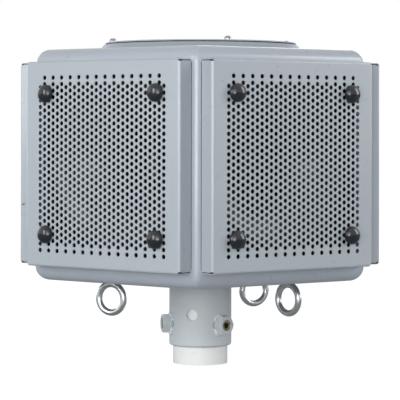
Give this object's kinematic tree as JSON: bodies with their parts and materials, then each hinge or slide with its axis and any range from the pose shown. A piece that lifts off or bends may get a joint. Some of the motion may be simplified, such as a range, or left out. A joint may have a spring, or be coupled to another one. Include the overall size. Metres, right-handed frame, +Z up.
{
  "type": "pole-top siren speaker head",
  "caption": "Five-sided pole-top siren head with a perforated grille and a horn on each side, a screwed round lid and a set-screw pole sleeve below.",
  "frame": {"origin": "centre of the pole's lower end", "axes": "+Z up along the pole, -Y out of the first grille"},
  "size_m": [0.5776, 0.5596, 0.522],
  "materials": {
    "housing": "satin",
    "grille": "satin",
    "rubber": "gloss",
    "horn": "gloss",
    "driver": "satin",
    "lid": "satin",
    "gasket": "matt",
    "pole": "satin",
    "sleeve": "satin",
    "set_screw": "zinc plated, dull yellow",
    "eyebolt": "bright zinc"
  },
  "bodies": {
    "root": {"housing": "housing", "grille_1": "grille", "grille_2": "grille", "grille_3": "grille", "grille_4": "grille", "grille_5": "grille", "bumpers_1": "rubber", "bumpers_2": "rubber", "bumpers_3": "rubber", "bumpers_4": "rubber", "bumpers_5": "rubber", "horn_1": "horn", "horn_2": "horn", "horn_3": "horn", "horn_4": "horn", "horn_5": "horn", "driver_1": "driver", "driver_2": "driver", "driver_3": "driver", "driver_4": "driver", "driver_5": "driver", "lid_ring": "housing", "lid_gasket": "gasket", "lid": "lid", "pole": "pole", "pole_sleeve": "sleeve", "set_screw_nut_1": "sleeve", "set_screw_nut_2": "sleeve", "set_screw_nut_3": "sleeve", "set_screw_1": "set_screw", "set_screw_2": "set_screw", "set_screw_3": "set_screw", "eyebolt_1": "eyebolt", "eyebolt_2": "eyebolt", "eyebolt_3": "eyebolt"}
  },
  "joints": []
}
